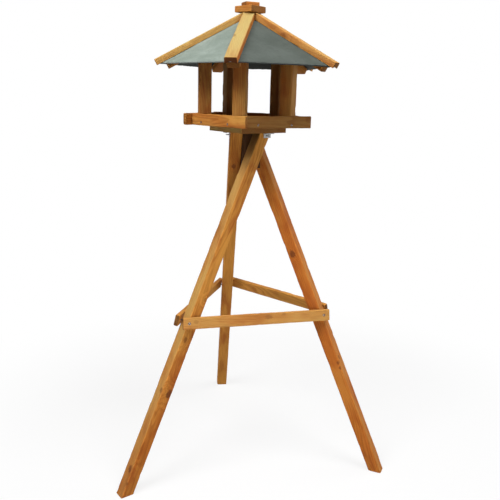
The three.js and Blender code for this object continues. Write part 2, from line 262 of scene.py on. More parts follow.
# Smooth noise between -1 and 1: hashed values on a unit lattice, blended with the eased share
def latticeNoise(places, seed):
    cells = np.floor(places)
    share = eased(places - cells)
    count = places.shape[-1]
    weights = np.array(lattice["weights"])[:count]
    total = np.zeros(places.shape[:-1])
    for corner in range(2**count):
        step = np.array([corner >> axis & 1 for axis in range(count)])
        mixed = np.sin((cells + step) @ weights + seed * lattice["seedStep"]) * lattice["scatter"]
        hashed = 2 * (mixed - np.floor(mixed)) - 1
        total += hashed * np.prod(np.where(step == 1, share, 1 - share), axis=-1)
    return total


# 0 below the first value, 1 above the second, and eased between them
def smoothStep(values, low, high):
    return eased(np.clip((values - low) / (high - low), 0, 1))


# Faces of a grid of rows that is closed across its columns
def tubeFaces(rows, columns):
    row, column = np.meshgrid(np.arange(rows - 1), np.arange(columns), indexing="ij")
    after = (column + 1) % columns
    start, end = row * columns, (row + 1) * columns
    corners = [start + column, start + after, end + after, end + column]
    return np.stack(corners, -1).reshape(-1, 4).tolist()


# Triangles from the first or the last row of such a grid to a point at its middle
def fanFaces(rows, columns, centre, last):
    column = np.arange(columns)
    first = (rows - 1) * columns if last else 0
    ends = [first + column, first + (column + 1) % columns]
    return np.stack([np.full(columns, centre), *(ends if last else ends[::-1])], -1).tolist()


# Helpers for shaders: nodes are added to a tree, and a value for a socket is a number or another socket
class Nodes:
    def __init__(self, tree):
        self.tree = tree

    def add(self, kind, inputs=None, **settings):
        node = self.tree.nodes.new(kind)
        for key, value in settings.items():
            setattr(node, key, value)
        for key, value in (inputs or {}).items():
            socket = node.inputs[key]
            if isinstance(value, bpy.types.NodeSocket):
                self.tree.links.new(value, socket)
            else:
                socket.default_value = value
        return node

    def math(self, operation, first, second=0.0, third=0.0):
        return self.add("ShaderNodeMath", {0: first, 1: second, 2: third}, operation=operation).outputs[0]

    def vector(self, operation, first, second=(0, 0, 0)):
        node = self.add("ShaderNodeVectorMath", {0: first, 1: second}, operation=operation)
        return node.outputs["Value" if operation in ("LENGTH", "DOT_PRODUCT") else "Vector"]

    def noise(self, vector, scale=1.0, detail=2.0, roughness=0.5, distortion=0.0):
        values = {"Vector": vector, "Scale": scale, "Detail": detail, "Roughness": roughness}
        values["Distortion"] = distortion
        return self.add("ShaderNodeTexNoise", values)

    # From the range of the first two limits to that of the last two
    def fit(self, value, fromLow, fromHigh, toLow=0.0, toHigh=1.0, smooth=True):
        node = self.add(
            "ShaderNodeMapRange",
            {0: value, 1: fromLow, 2: fromHigh, 3: toLow, 4: toHigh},
            interpolation_type="SMOOTHSTEP" if smooth else "LINEAR",
        )
        return node.outputs[0]

    # On a colour mix, sockets 0, 6 and 7 are the share and the two colours
    def mix(self, share, first, second, blend="MIX"):
        node = self.add("ShaderNodeMix", data_type="RGBA", blend_type=blend, clamp_factor=True)
        for key, value in ((0, share), (6, first), (7, second)):
            if isinstance(value, bpy.types.NodeSocket):
                self.tree.links.new(value, node.inputs[key])
            else:
                node.inputs[key].default_value = value
        return node.outputs[2]

    def grey(self, value):
        return self.add("ShaderNodeCombineColor", {0: value, 1: value, 2: value}).outputs[0]


# An empty node group, with its builder, the sockets that come in and those that go out
def newGroup(name, inputs, outputs):
    tree = bpy.data.node_groups.new(name, "ShaderNodeTree")
    for label, kind, default in inputs:
        socket = tree.interface.new_socket(label, in_out="INPUT", socket_type=kind)
        if default is not None:
            socket.default_value = default
    for label, kind in outputs:
        tree.interface.new_socket(label, in_out="OUTPUT", socket_type=kind)
    source = tree.nodes.new("NodeGroupInput")
    target = tree.nodes.new("NodeGroupOutput")
    return tree, Nodes(tree), source.outputs, target.inputs


# A new material, with its builder and its Principled shader
def newMaterial(name):
    material = bpy.data.materials.new(name)
    material.use_nodes = True
    tree = material.node_tree
    shader = next(node for node in tree.nodes if node.type == "BSDF_PRINCIPLED")
    return material, Nodes(tree), shader


# The outputs of a node group that is placed with its own values
def useGroup(build, tree, inputs):
    return build.add("ShaderNodeGroup", inputs, node_tree=tree).outputs


# Joins sockets to a shader's inputs by their names, with a low line for each space
def wire(build, shader, **sockets):
    for label, value in sockets.items():
        build.tree.links.new(value, shader.inputs[label.replace("_", " ")])


vectorKind = "NodeSocketVector"
floatKind = "NodeSocketFloat"
colourKind = "NodeSocketColor"

# Pine: rings round a pith beside the timber, fibres, and stain that lies unevenly. A size is the number of
# noise cells in a metre, along the grain and across it. Four values take a noise from the range of the
# first two to that of the last two
pine = {
    "pale": (0.62, 0.275, 0.050, 1),
    "middle": (0.48, 0.140, 0.020, 1),
    # pale grey of weathered wood; on upward faces it also paints a sheen
    "weathered": (0.44, 0.355, 0.13, 1),
    "dark": (0.24, 0.055, 0.008, 1),
    "red": (0.32, 0.068, 0.014, 1),
    "knot": (0.115, 0.030, 0.010, 1),
    "endGrain": (0.36, 0.150, 0.032, 1),
    # dark end grain: partly the stain soaking in, partly painted shade on ends that face away from the light
    "endDark": (0.055, 0.022, 0.012, 1),
    # painted shade: a near black that parts lying in shade, under the roof and the tray, are mixed towards
    "soaked": (0.020, 0.011, 0.006, 1),
    "ringsPerMetre": 240.0,
    "pithAway": 0.042,
    "bendSize": (2.2, 12, 12),
    "bend": 0.055,
    "unevenSize": (6, 60, 60),
    "uneven": 0.9,
    "lateStart": (0.2, 0.86),  # the part of a ring where late wood grows dark
    "lateStop": (0.90, 1.0, 1.0, 0.0),
    "fibreSize": (14, 620, 620),
    "streakSize": (4, 105, 105),
    "stainSize": (6, 24, 24),
    "flushSize": (9, 30, 30),
    "flush": (0.50, 0.72, 0.0, 0.55),
    "stainTone": (0.3, 0.7, -0.36, 0.36),
    "ringDark": (0.2, 0.8, 0.22, 0.55),
    "stainDark": (0.5, 0.8, 0.0, 0.45),
    "streakDark": (0.56, 0.82, 0.0, 0.42),
    "fibreShade": (0.25, 0.75, 0.84, 1.12),
    "wornShow": (0.3, 0.65, 0.05, 0.4),
    "roughness": (0.2, 0.8, 0.56, 0.76),
    "stainFades": 0.8,  # how much of the stain's tone and of the rings is lost where fully weathered
    "ringsFade": 0.6,
    "knotShow": 0.88,
    "endShow": 0.8,
    "endRings": 0.5,
    "endRough": 0.15,
    "fibreHigh": 0.5,
    "ringHigh": 0.5,
    "knotHigh": 0.4,
    "bump": 0.0005,
    "bumpStrength": 0.5,
    "gloss": 0.12,
    "endFacing": (0.55, 0.8),  # how far along the grain a face looks, to show end grain
    "upFacing": (0.2, 0.38),  # how far up it looks: tops weather paler and take a painted sheen, and near a timber's start take the painted shadow of the tray
    "endDarkUsual": 0.4,
    "drift": 5,
    "sheltered": 0.17,  # length at a timber's start that the tray keeps the light from
}
knotLook = {
    "stretch": (0.7, 1, 1),
    "raggedScale": 190,
    "ragged": 1.4,
    "core": (1.25, 0.6),  # the distance over the radius where the knot starts, and where it is full
    "halo": (4.5, 0.6),  # the same for the push about it
    "push": 2.8,  # in rings
    "every": 0.30,  # one random knot to this length of timber, up to the most
    "most": 4,
    "spread": (0.94, 0.6, 0.6),  # the part of each half size that they keep to
    "radius": (0.0035, 0.007),
    "strength": (0.6, 1),
}
arrisWide = 0.005


# One knot: a mask that is 1 in a ragged ball about its centre, and a push on the ring phase that dies away
# with distance
def makeKnotGroup():
    inputs = [
        ("Vector", vectorKind, None),
        ("Centre", vectorKind, (0, 0, 0)),
        ("Radius", floatKind, 0.006),
        ("Strength", floatKind, 1.0),
        ("Mask", floatKind, 0.0),
        ("Push", floatKind, 0.0),
    ]
    tree, build, source, target = newGroup("knot", inputs, [("Mask", floatKind), ("Push", floatKind)])
    away = build.vector("SUBTRACT", source["Vector"], source["Centre"])
    away = build.vector("MULTIPLY", away, knotLook["stretch"])
    ragged = build.noise(source["Vector"], scale=knotLook["raggedScale"], detail=3).outputs[0]
    ragged = build.math("MULTIPLY_ADD", ragged, knotLook["ragged"], -knotLook["ragged"] / 2)
    reach = build.math("ADD", build.math("DIVIDE", build.vector("LENGTH", away), source["Radius"]), ragged)
    core = build.math("MULTIPLY", build.fit(reach, *knotLook["core"]), source["Strength"])
    halo = build.math("MULTIPLY", build.fit(reach, *knotLook["halo"]), source["Strength"])
    build.tree.links.new(build.math("MAXIMUM", source["Mask"], core), target["Mask"])
    build.tree.links.new(build.math("MULTIPLY_ADD", halo, knotLook["push"], source["Push"]), target["Push"])
    return tree


# Ring phase = distance to the pith times rings per metre, bent by slow noise and pushed by the knots. Late
# wood is the dark end of each ring, fibres are noise drawn out along the grain, and stain is slow noise
def makePineGroup():
    inputs = [
        ("Vector", vectorKind, None),
        ("Pith", vectorKind, (0, 0.03, 0.02)),
        ("Tone", floatKind, 0.5),
        ("Weathered", floatKind, 0.0),
        ("Soaked", floatKind, 0.0),
        ("Knots", floatKind, 0.0),
        ("Push", floatKind, 0.0),
        ("End", floatKind, 0.0),
        ("End Dark", floatKind, 0.4),
        ("Worn", floatKind, 0.0),
    ]
    outputs = [("Color", colourKind), ("Roughness", floatKind), ("Height", floatKind)]
    tree, build, source, target = newGroup("pine", inputs, outputs)
    place = source["Vector"]

    def grained(size, **settings):
        return build.noise(build.vector("MULTIPLY", place, pine[size]), **settings).outputs

    slow = grained("bendSize", detail=3)["Color"]
    bend = build.vector("SUBTRACT", slow, (0.5, 0.5, 0.5))
    bend = build.vector("MULTIPLY", bend, (0, pine["bend"], pine["bend"]))
    bent = build.vector("ADD", build.vector("MULTIPLY", place, (0, 1, 1)), bend)
    radius = build.vector("LENGTH", build.vector("SUBTRACT", bent, source["Pith"]))
    phase = build.math("MULTIPLY_ADD", radius, pine["ringsPerMetre"], source["Push"])
    uneven = grained("unevenSize", detail=2)[0]
    share = build.math("FRACT", build.math("MULTIPLY_ADD", uneven, pine["uneven"], phase))
    late = build.math("MULTIPLY", build.fit(share, *pine["lateStart"]), build.fit(share, *pine["lateStop"]))
    fibre = grained("fibreSize", detail=4, roughness=0.6)[0]
    streak = grained("streakSize", detail=3)[0]
    stain = grained("stainSize", detail=4, roughness=0.55)[0]
    flush = build.fit(grained("flushSize", detail=3, distortion=0.6)[0], *pine["flush"])
    stained = build.math("MULTIPLY_ADD", source["Weathered"], -pine["stainFades"], 1.0)
    ringed = build.math("MULTIPLY_ADD", source["Weathered"], -pine["ringsFade"], 1.0)
    flush = build.math("MULTIPLY", flush, stained)
    tone = build.math("ADD", source["Tone"], build.fit(stain, *pine["stainTone"]))
    tone = build.math("MULTIPLY", tone, stained)
    pale = build.mix(source["Weathered"], pine["pale"], pine["weathered"])
    colour = build.mix(tone, pale, pine["middle"])
    colour = build.mix(flush, colour, pine["red"])
    ringShare = build.math("MULTIPLY", late, build.fit(stain, *pine["ringDark"]))
    colour = build.mix(build.math("MULTIPLY", ringShare, ringed), colour, pine["dark"])
    colour = build.mix(build.fit(stain, *pine["stainDark"]), colour, pine["dark"])
    colour = build.mix(build.fit(streak, *pine["streakDark"]), colour, pine["dark"])
    shade = build.fit(fibre, *pine["fibreShade"], smooth=False)
    colour = build.mix(1.0, colour, build.grey(shade), "MULTIPLY")
    colour = build.mix(build.math("MULTIPLY", source["Knots"], pine["knotShow"]), colour, pine["knot"])
    worn = build.math("MULTIPLY", source["Worn"], build.fit(stain, *pine["wornShow"]))
    colour = build.mix(worn, colour, pine["pale"])
    # end grain darkened: partly the stain soaking in, partly painted shade
    ends = build.mix(source["End Dark"], pine["endGrain"], pine["endDark"])
    ends = build.mix(build.math("MULTIPLY", late, pine["endRings"]), ends, pine["knot"])
    colour = build.mix(build.math("MULTIPLY", source["End"], pine["endShow"]), colour, ends)
    # painted shade: last, the colour is darkened towards near black where a part lies in shade
    build.tree.links.new(build.mix(source["Soaked"], colour, pine["soaked"]), target["Color"])
    rough = build.fit(fibre, *pine["roughness"])
    rough = build.math("MULTIPLY_ADD", source["End"], pine["endRough"], rough)
    build.tree.links.new(rough, target["Roughness"])
    height = build.math("MULTIPLY", late, pine["ringHigh"])
    height = build.math("MULTIPLY_ADD", fibre, pine["fibreHigh"], height)
    height = build.math("MULTIPLY_ADD", source["Knots"], pine["knotHigh"], height)
    build.tree.links.new(height, target["Height"])
    return tree


# 1 near the long edges of a block: two of the three coordinates are within a width of the half size
def makeArrisGroup():
    inputs = [
        ("Vector", vectorKind, None),
        ("Half Size", vectorKind, (1, 1, 1)),
        ("Width", floatKind, arrisWide),
    ]
    tree, build, source, target = newGroup("arris", inputs, [("Mask", floatKind)])
    depth = build.vector("SUBTRACT", source["Half Size"], build.vector("ABSOLUTE", source["Vector"]))
    parts = build.add("ShaderNodeSeparateXYZ", {0: depth}).outputs
    near = [build.fit(build.math("DIVIDE", part, source["Width"]), 1.0, 0.0) for part in parts]
    pairs = [build.math("MULTIPLY", near[i], near[(i + 1) % 3]) for i in range(3)]
    most = build.math("MAXIMUM", build.math("MAXIMUM", pairs[0], pairs[1]), pairs[2])
    build.tree.links.new(most, target["Mask"])
    return tree


groups = {"knot": makeKnotGroup(), "pine": makePineGroup(), "arris": makeArrisGroup()}


# Knots at even random places along a timber, each on one of its four long faces
def knotPlaces(half, random):
    places = []
    for _ in range(min(int(2 * half[0] / knotLook["every"] + random.random()), knotLook["most"])):
        side, sign = random.integers(1, 3), random.choice((-1, 1))
        place = random.uniform(-1, 1, 3) * knotLook["spread"] * half
        place[side] = sign * half[side]
        places.append((place, random.uniform(*knotLook["radius"]), random.uniform(*knotLook["strength"])))
    return places


# Stained pine whose grain runs along the first of the three axes. Its look is the tone of the stain, pale
# at 0 and darker at 1, or two tones for its start and end; how far it has weathered all over, and on upward
# faces, where the paler colour also paints a sheen; how much painted shade darkens it all over, and how
# much painted shadow of the tray darkens upward faces near its start; and how dark its end grain is, which
# is partly the stain soaking in and partly painted shade on ends that face away from the light
def pineMaterial(name, axes, middle, half, look, knots, random):
    material, build, shader = newMaterial("pine_" + name)
    turn = Matrix(axes.tolist())
    coordinates = build.add("ShaderNodeTexCoord").outputs
    mapping = build.add("ShaderNodeMapping", {"Vector": coordinates["Object"]}, vector_type="POINT")
    mapping.inputs["Location"].default_value = -(turn @ Vector(middle.tolist()))
    mapping.inputs["Rotation"].default_value = turn.to_euler("XYZ")
    local = mapping.outputs[0]
    mask, push = 0.0, 0.0
    for place, radius, strength in knots:
        values = {"Vector": local, "Centre": place.tolist(), "Radius": radius, "Strength": strength}
        values |= {"Mask": mask, "Push": push}
        knot = useGroup(build, groups["knot"], values)
        mask, push = knot["Mask"], knot["Push"]
    facing = build.vector("DOT_PRODUCT", coordinates["Normal"], tuple(axes[0]))
    end = build.fit(build.math("ABSOLUTE", facing), *pine["endFacing"])
    worn = useGroup(build, groups["arris"], {"Vector": local, "Half Size": half.tolist()})["Mask"]
    angle = random.uniform(0, 2 * math.pi)
    pith = (0, math.cos(angle) * pine["pithAway"], math.sin(angle) * pine["pithAway"])
    drift = build.vector("ADD", local, (random.uniform(-pine["drift"], pine["drift"]), 0, 0))
    upward = build.fit(build.vector("DOT_PRODUCT", coordinates["Normal"], tuple(up)), *pine["upFacing"])
    onTop, allOver = look.get("weatheredTop", 0.0), look.get("weathered", 0.0)
    # upward faces weather paler, which also paints a sheen on them
    weathered = build.math("MULTIPLY_ADD", upward, onTop, allOver)
    near, far = look["tone"] if isinstance(look["tone"], tuple) else (look["tone"], look["tone"])
    alongGrain = build.add("ShaderNodeSeparateXYZ", {0: local}).outputs[0]
    start, finish = float(-half[0]), float(half[0])
    tone = build.fit(alongGrain, start, finish, near, far, smooth=False)
    # painted shadow of the tray on upward faces near the start, added to the painted shade all over
    shaded = build.fit(alongGrain, start, start + pine["sheltered"], look.get("shaded", 0.0), 0.0)
    soaked = build.math("MULTIPLY_ADD", upward, shaded, look.get("soaked", 0.0))
    values = {"Vector": drift, "Pith": pith, "Tone": tone, "Weathered": weathered}
    values |= {"Soaked": soaked, "End Dark": look.get("endDark", pine["endDarkUsual"])}
    values |= {"Knots": mask, "Push": push, "End": end, "Worn": worn}
    grain = useGroup(build, groups["pine"], values)
    bump = {"Height": grain["Height"], "Strength": pine["bumpStrength"], "Distance": pine["bump"]}
    bump = build.add("ShaderNodeBump", bump)
    shader.inputs["Specular IOR Level"].default_value = pine["gloss"]
    wire(build, shader, Base_Color=grain["Color"], Roughness=grain["Roughness"], Normal=bump.outputs[0])
    return material


# Slate: cloudy mottling, finer grain over it, faint cleavage streaks, and a pale dressed edge
slate = {
    "pale": (0.355, 0.410, 0.365, 1),
    "middle": (0.240, 0.290, 0.250, 1),
    "dark": (0.130, 0.167, 0.138, 1),
    "dressed": (0.30, 0.34, 0.315, 1),
    "evenness": 0.55,
    "cloudScale": 11,
    "cloud": (0.32, 0.68),
    "fineScale": 150,
    "fine": (0.35, 0.75, 0.0, 0.3),
    "layerSize": (30, 30, 130),
    "layer": (0.55, 0.7, 0.0, 0.35),
    "speckleScale": 420,
    "speckle": (0.3, 0.6, 0.25, 1.0),
    "under": (-0.2, -0.6, 1.0, 0.3),  # painted shade: a face that looks down is darker
    "roughness": (0.2, 0.8, 0.6, 0.85),
    "layerHigh": 0.6,
    "fineHigh": 0.25,
    "bump": 0.0009,
    "bumpStrength": 0.5,
    "gloss": 0.2,
    "shades": (0.25, 0.5, 0.42, 0.6, 0.78),  # painted light and shade of the five slates, each lighter or darker as the light falls on it: the fifth, on the left, lightest and the first, on the right, darkest
}


# One slate's own material: all its colours are multiplied by its shade, a painted light and shade for that
# slate
def slateMaterial(number, shade):
    material, build, shader = newMaterial(f"slate_{number}")
    place = build.add("ShaderNodeTexCoord").outputs["Object"]
    cloud = build.noise(place, slate["cloudScale"], detail=5, roughness=0.62, distortion=0.6).outputs[0]
    fine = build.noise(place, slate["fineScale"], detail=4, roughness=0.65).outputs[0]
    layers = build.vector("MULTIPLY", place, slate["layerSize"])
    layers = build.noise(layers, detail=4, distortion=1.5).outputs[0]
    shaded = (shade, shade, shade, 1)
    colour = build.mix(build.fit(cloud, *slate["cloud"]), slate["dark"], slate["pale"])
    colour = build.mix(slate["evenness"], colour, slate["middle"])
    colour = build.mix(build.fit(fine, *slate["fine"]), colour, slate["pale"])
    colour = build.mix(build.fit(layers, *slate["layer"]), colour, slate["dark"])
    # painted light and shade of this slate
    colour = build.mix(1.0, colour, shaded, "MULTIPLY")
    # painted shade: faces that look down are darkened
    facing = build.vector("DOT_PRODUCT", build.add("ShaderNodeTexCoord").outputs["Normal"], tuple(up))
    colour = build.mix(1.0, colour, build.grey(build.fit(facing, *slate["under"])), "MULTIPLY")
    dressed = build.add("ShaderNodeAttribute", attribute_name="dressed").outputs["Fac"]
    speckle = build.noise(place, slate["speckleScale"], detail=2).outputs[0]
    dressed = build.math("MULTIPLY", dressed, build.fit(speckle, *slate["speckle"]))
    colour = build.mix(dressed, colour, build.mix(1.0, slate["dressed"], shaded, "MULTIPLY"))
    height = build.math("MULTIPLY", fine, slate["fineHigh"])
    height = build.math("ADD", build.math("MULTIPLY", layers, slate["layerHigh"]), height)
    bump = {"Height": height, "Strength": slate["bumpStrength"], "Distance": slate["bump"]}
    bump = build.add("ShaderNodeBump", bump)
    shader.inputs["Specular IOR Level"].default_value = slate["gloss"]
    rough = build.fit(fine, *slate["roughness"])
    wire(build, shader, Base_Color=colour, Roughness=rough, Normal=bump.outputs[0])
    return material


# Zinc-plated steel: spangled patches, dulled, with rust where it is tarnished
zinc = {
    "bright": (0.52, 0.53, 0.53, 1),
    "dull": (0.27, 0.27, 0.26, 1),
    "rust": (0.10, 0.05, 0.028, 1),
    "patchScale": 320.0,
    "patches": (0, 1, 0, 0.7),
    "spotScale": 420,
    "rustFrom": (0.66, 0.4),  # the noise where rust starts when clean, and how far tarnish lowers that
    "rustFull": (0.8, 0.3),
    "metal": (0, 1, 0.95, 0.15),
    "roughness": (0.2, 0.8, 0.34, 0.62),
    "darkTarnish": 0.9,
    "dullTarnish": 0.5,
}


# Zinc whose rust spreads with its tarnish, from 0 to 1
def zincMaterial(name, tarnish):
    material, build, shader = newMaterial(name)
    place = build.add("ShaderNodeTexCoord").outputs["Object"]
    patches = build.add("ShaderNodeTexVoronoi", {"Vector": place, "Scale": zinc["patchScale"]})
    grey = build.add("ShaderNodeSeparateColor", {0: patches.outputs["Color"]}).outputs[0]
    colour = build.mix(build.fit(grey, *zinc["patches"]), zinc["bright"], zinc["dull"])
    spots = build.noise(place, zinc["spotScale"], detail=3).outputs[0]
    begins, full = (usual - tarnish * less for usual, less in (zinc["rustFrom"], zinc["rustFull"]))
    rust = build.fit(spots, begins, full)
    rough = build.fit(spots, *zinc["roughness"])
    metal = build.fit(rust, *zinc["metal"])
    wire(build, shader, Base_Color=build.mix(rust, colour, zinc["rust"]), Roughness=rough, Metallic=metal)
    return material


zincDark = zincMaterial("zinc_dark", zinc["darkTarnish"])
zincDull = zincMaterial("zinc_dull", zinc["dullTarnish"])
print("slate and zinc materials ready")


# Sawn timbers: a section with eased corners carried along the grain, its edges worn and dented. A size is
# how long a lump of noise is along the grain and across it
sawn = {
    "station": 0.004,  # along the grain
    "sideStep": 0.0045,  # across a flat side
    "cornerSteps": 4,
    "warp": 0.00035,
    "warpSize": (0.11, 0.05),
    "wear": 0.0007,
    "wearSize": (0.016, 0.01),
    "dent": 0.0010,
    "dentSize": (0.026, 0.02),
    "dented": (0.35, 0.8),
    "fineStep": 0.0005,  # near a screw
    "fineReach": 0.0055,
    "fineRoom": 0.001,
    "sideRoom": 1e-4,  # kept free at both ends of a side
    "recessRoom": 0.0005,
    "recessSlope": 1.2,
    "recessLip": 0.00015,
    "recessDeep": 0.0014,
    "faceDeep": 0.001,  # points this near the face count as on it
    "endRound": 0.0014,
    "boardEndRound": 0.003,
    "endAngles": (90, 65, 40, 18, 0),
    "endRoom": 1.6,  # stations keep off an end by this many times its rounding
    "endRing": 0.88,
    "endFacing": 0.25,
    "endDeep": 0.03,
    "rafterCorners": (0.0025, 0.0025, 0.0005, 0.001, 0.0005),
    "battenCorners": (0.0006, 0, 0.0006, 0.0028, 0.0028),
}


# A closed outline through corners taken anticlockwise: each corner becomes an arc of its radius, and the
# sides between are divided evenly. Gives places, outward normals, and 1 on the arcs
def sectionLoop(corners, radii, fineReach):
    corners = np.array(corners)
    ahead = np.roll(corners, -1, 0) - corners
    ahead /= np.linalg.norm(ahead, axis=1)[:, None]
    outward = np.stack([ahead[:, 1], -ahead[:, 0]], 1)
    before = np.roll(outward, 1, 0)
    places, normals, edge = [], [], []
    for i, radius in enumerate(radii):
        cosine = before[i] @ outward[i]
        centre = corners[i] - (before[i] + outward[i]) * radius / (1 + cosine)
        turn = math.atan2(before[i][0] * outward[i][1] - before[i][1] * outward[i][0], cosine)
        angles = turn * np.linspace(0, 1, sawn["cornerSteps"] + 1) if radius else np.array([turn / 2])
        arc = before[i] * np.cos(angles)[:, None]
        arc = arc + np.array([-before[i][1], before[i][0]]) * np.sin(angles)[:, None]
        places.append(centre + arc * radius)
        normals.append(arc)
        edge.append(np.ones(len(angles)))
    result = [[], [], []]
    for i in range(len(radii)):
        first, last = places[i][-1], places[(i + 1) % len(radii)][0]
        long = np.linalg.norm(last - first)
        steps = np.linspace(0, long, max(int(long / sawn["sideStep"]) + 1, 2))[1:-1]
        if fineReach and i == 1:  # the side that faces along the second axis
            steps = np.append(steps, long / 2 + np.arange(-fineReach, fineReach, sawn["fineStep"]))
            room = sawn["sideRoom"]
            steps = np.unique(np.round(steps[(steps > room) & (steps < long - room)], 5))
        side = first + (last - first) * steps[:, None] / long
        result[0] += [places[i], side]
        result[1] += [normals[i], np.tile(outward[i], (len(steps), 1))]
        result[2] += [edge[i], np.zeros(len(steps))]
    return [np.concatenate(part) for part in result]


# The flat face that ends a timber: its normal, scaled to 1 along the grain, and a point on it
def endPlane(name, axes, middle, sign):
    normals, areas, centres = nodeFaces(name)
    facing, reach = normals @ axes[0] * sign, centres @ axes[0] * sign
    chosen = facing > sawn["endFacing"]
    chosen &= reach > reach[chosen].max() - sawn["endDeep"]
    normal, place = largestFace(normals, areas, centres, chosen)
    normal, place = axes @ normal, axes @ (place - middle)
    return normal / normal[0], place


# How far along the grain that plane lies, at places across the timber
def alongPlane(plane, across):
    normal, place = plane
    return place[0] - (across - place[1:]) @ normal[1:]


# Point(w, s) = start(s) (1 - w) + end(s) w + c along the grain, and the outline's place s less n (inset +
# relief) across it. Near an end c and the inset follow a quarter circle, and each end closes to a point at
# its middle. Round a screw the surface is lowered to a shallow cone
def timberSurface(axes, middle, loop, planes, rounding, screws, seed):
    outline, normals, edge = loop
    columns = len(outline)
    long = planes[1][1][0] - planes[0][1][0]
    angles = np.radians(sawn["endAngles"])
    shift, inset = rounding * (1 - np.sin(angles)), rounding * (1 - np.cos(angles))
    share = np.linspace(0, 1, int(long / sawn["station"]) + 2)
    face = outline[:, 0].max()
    fromStart = alongPlane(planes[0], np.array([face, 0]))
    reach = alongPlane(planes[1], np.array([face, 0])) - fromStart
    for place, radius in screws:
        fine = np.arange(-radius - sawn["fineRoom"], radius + sawn["fineRoom"], sawn["fineStep"])
        share = np.append(share, (place[0] + fine - fromStart) / reach)
    room = sawn["endRoom"] * rounding / long
    share = np.unique(np.round(share[(share > room) & (share < 1 - room)], 6))
    blank = np.zeros(len(share))
    share = np.concatenate([np.zeros(len(angles)), share, np.ones(len(angles))])[:, None]
    shift = np.concatenate([shift, blank, -shift[::-1]])[:, None]
    inset = np.concatenate([inset, blank, inset[::-1]])[:, None]

    far = np.broadcast_to(share * long, (len(share), columns))
    across = np.broadcast_to(outline, (len(share), columns, 2))
    places = np.concatenate([far[..., None], across], -1)
    slow, quick, knock = (
        latticeNoise(places / (length, width, width), seed + more)
        for (length, width), more in ((sawn["warpSize"], 0), (sawn["wearSize"], 3), (sawn["dentSize"], 7))
    )
    relief = sawn["warp"] * (0.5 + 0.5 * slow) + sawn["wear"] * edge * (0.5 + 0.5 * quick)
    relief += sawn["dent"] * edge * smoothStep(knock, *sawn["dented"])
    across = across - normals * (inset + relief)[..., None]
    begin, finish = alongPlane(planes[0], across), alongPlane(planes[1], across)
    along = begin * (1 - share) + finish * share + shift
    for place, radius in screws:
        inside = radius + sawn["recessRoom"] - np.hypot(along - place[0], across[..., 1] - place[1])
        lowered = np.minimum(inside * sawn["recessSlope"] + sawn["recessLip"], sawn["recessDeep"])
        lowered = np.where((inside > 0) & (across[..., 0] > face - sawn["faceDeep"]), lowered, 0)
        across = across - np.stack([lowered, np.zeros_like(lowered)], -1)

    local = np.concatenate([along[..., None], across], -1)
    centres = local[[0, -1]].mean(1)
    rings = centres[:, None] + (local[[0, -1]] - centres[:, None]) * sawn["endRing"]
    local = np.concatenate([rings[:1], local, rings[1:]])
    rows = len(local)
    points = np.concatenate([local.reshape(-1, 3), centres]) @ axes + middle
    faces = tubeFaces(rows, columns) + fanFaces(rows, columns, rows * columns, False)
    return points, faces + fanFaces(rows, columns, rows * columns + 1, True)


# Corners of a plain section, anticlockwise from the lower left one
def rectangle(half):
    return [(-half[1], -half[2]), (half[1], -half[2]), (half[1], half[2]), (-half[1], half[2])]


# A rafter's top is backed to two slopes that meet along its middle
def rafterSection(name, axes, middle, half):
    local = localPoints(name, axes, middle)
    shoulder = local[np.abs(local[:, 1]) > half[1] - touching][:, 2].max()
    top = [(half[1], shoulder), (0, half[2]), (-half[1], shoulder)]
    return rectangle(half)[:2] + top, sawn["rafterCorners"]


# A batten's underside is hollowed to the same two slopes
def battenSection(name, axes, middle, half):
    local = localPoints(name, axes, middle)
    apex = local[np.abs(local[:, 1]) < touching][:, 2].min()
    corners = rectangle(half)
    return [corners[0], (0, apex), *corners[1:]], sawn["battenCorners"]


headRim = 0.0002  # points this near a screw head's rim are on it


# Middle of a screw's head, its direction into the wood, the head's radius, and the screw's length
def screwPlace(name):
    points = nodePoints(name)
    middle = points.mean(0)
    axis = np.linalg.eigh((points - middle).T @ (points - middle))[1][:, 2]
    far = (points - middle) @ axis
    radial = np.linalg.norm(points - middle - far[:, None] * axis, axis=1)
    axis *= -1 if far[np.argmax(radial)] > 0 else 1
    far = (points - middle) @ axis
    middle = middle + axis * ((points - middle - far[:, None] * axis).mean(0) @ axis + far.min())
    onRim = (far < far.min() + headRim) & (radial > radial.max() - headRim)
    return points[onRim].mean(0), axis, radial.max(), far.max() - far.min()


# Screws whose head lies in one of a timber's faces, in that timber's own coordinates
def screwsIn(axes, middle, names):
    found = []
    for name in names:
        head, _, radius, _ = screwPlace(name)
        local = axes @ (head - middle)
        found.append((np.array([local[0], local[2]]), radius))
    return found


# Each kind of timber: its frame, the radius of its arrises or its section, the screws in it, and its look
timbers = {
    "leg": {"axes": timberAxes, "arris": 0.004, "tone": 0.42, "weatheredTop": 0.35},
    # partly painted shade: the braces' ends are darkened because they face away from the light
    "brace": {
        "axes": lambda name: boardAxes(name, standAxis),
        "arris": 0.002, "screws": "brace_screw_{}_", "tone": -0.1, "weathered": 0.1, "endDark": 0.8,
    },
    "rim_board": {
        "axes": lambda name: boardAxes(name, houseAxis),
        "arris": 0.0025, "screws": "rim_screw_{}_", "tone": 0.4,
    },
    # painted shade: the posts are darkened because they stand in the shade of the roof
    "post": {"axes": timberAxes, "arris": 0.004, "tone": 0.7, "weathered": 0.25, "soaked": 0.3},
    "rafter": {"axes": hipAxes, "section": rafterSection, "tone": 0.5, "weathered": 0.2},
    "hip_batten": {"axes": hipAxes, "section": battenSection, "tone": 0.3, "weatheredTop": 0.9},
    "cap": {"axes": capAxes, "arris": 0.002, "tone": 0.55, "weathered": 0.35},
}
